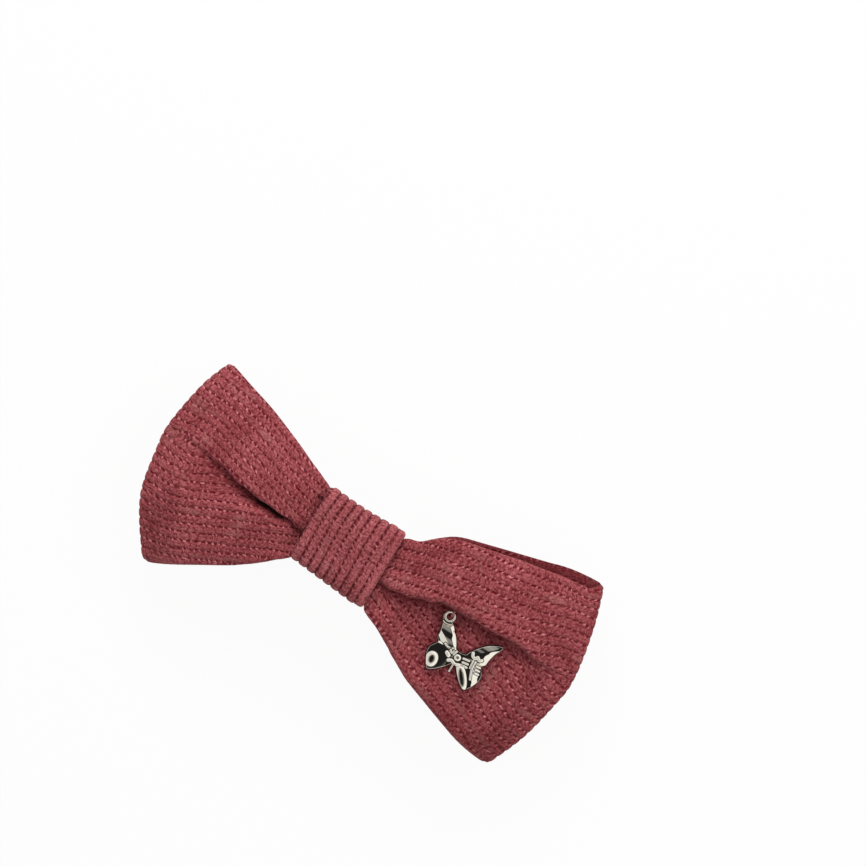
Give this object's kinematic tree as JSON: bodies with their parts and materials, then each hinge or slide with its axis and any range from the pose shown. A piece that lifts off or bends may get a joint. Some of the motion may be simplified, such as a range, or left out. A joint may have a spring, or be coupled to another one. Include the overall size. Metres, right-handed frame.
{
  "type": "bow hair clip",
  "caption": "Gathered fabric bow with a wrapped knot and a hanging butterfly charm, on a sprung duckbill hair clip.",
  "frame": {"origin": "under the middle of the bow's outline, on the flat underside of the clip's lower leaf", "axes": "+X along the bow's length, towards the wing with the charm; +Y across the bow, away from the charm's head; +Z out of the bow's front"},
  "size_m": [0.0843, 0.038, 0.0178],
  "materials": {
    "ribbed_fabric": "dusty rose ribbed chenille knit, matt with a light pile",
    "sewing_thread": "dusty pink polyester sewing thread",
    "hot_glue": "cloudy set glue",
    "nickel_plated_steel": "bright nickel plate",
    "spring_steel": "drawn wire",
    "polished_silver": "cast and polished, mirror bright"
  },
  "bodies": {
    "bow": {"bow_strip": "ribbed_fabric", "knot_band": "ribbed_fabric", "gather_thread": "sewing_thread", "band_stitching": "sewing_thread", "glue_pad": "hot_glue", "clip_top_plate": "nickel_plated_steel", "hinge_pin": "nickel_plated_steel", "torsion_spring": "spring_steel"},
    "lower_jaw": {"clip_lower_jaw": "nickel_plated_steel"},
    "thread_loop": {"charm_thread": "sewing_thread"},
    "charm": {"butterfly_charm": "polished_silver"}
  },
  "joints": [
    {"name": "jaw_hinge", "type": "hinge", "parent": "bow", "child": "lower_jaw", "pos_m": [0.0007, 0.0021, 0.0036], "axis": [0, -1, 0], "range_deg": [0, 24], "stiffness_Nm_per_rad": 0.05, "springref_deg": -22.92, "deforming": ["torsion_spring"]},
    {"name": "charm_swing", "type": "hinge", "parent": "bow", "child": "thread_loop", "pos_m": [0.01786, 0.00205, 0.01465], "axis": [0.06, 0, 0.9982], "range_deg": [-20, 0]},
    {"name": "charm_lift", "type": "hinge", "parent": "thread_loop", "child": "charm", "pos_m": [0.01786, 0.00145, 0.01465], "axis": [-0.9982, 0, 0.06], "range_deg": [0, 100]}
  ]
}
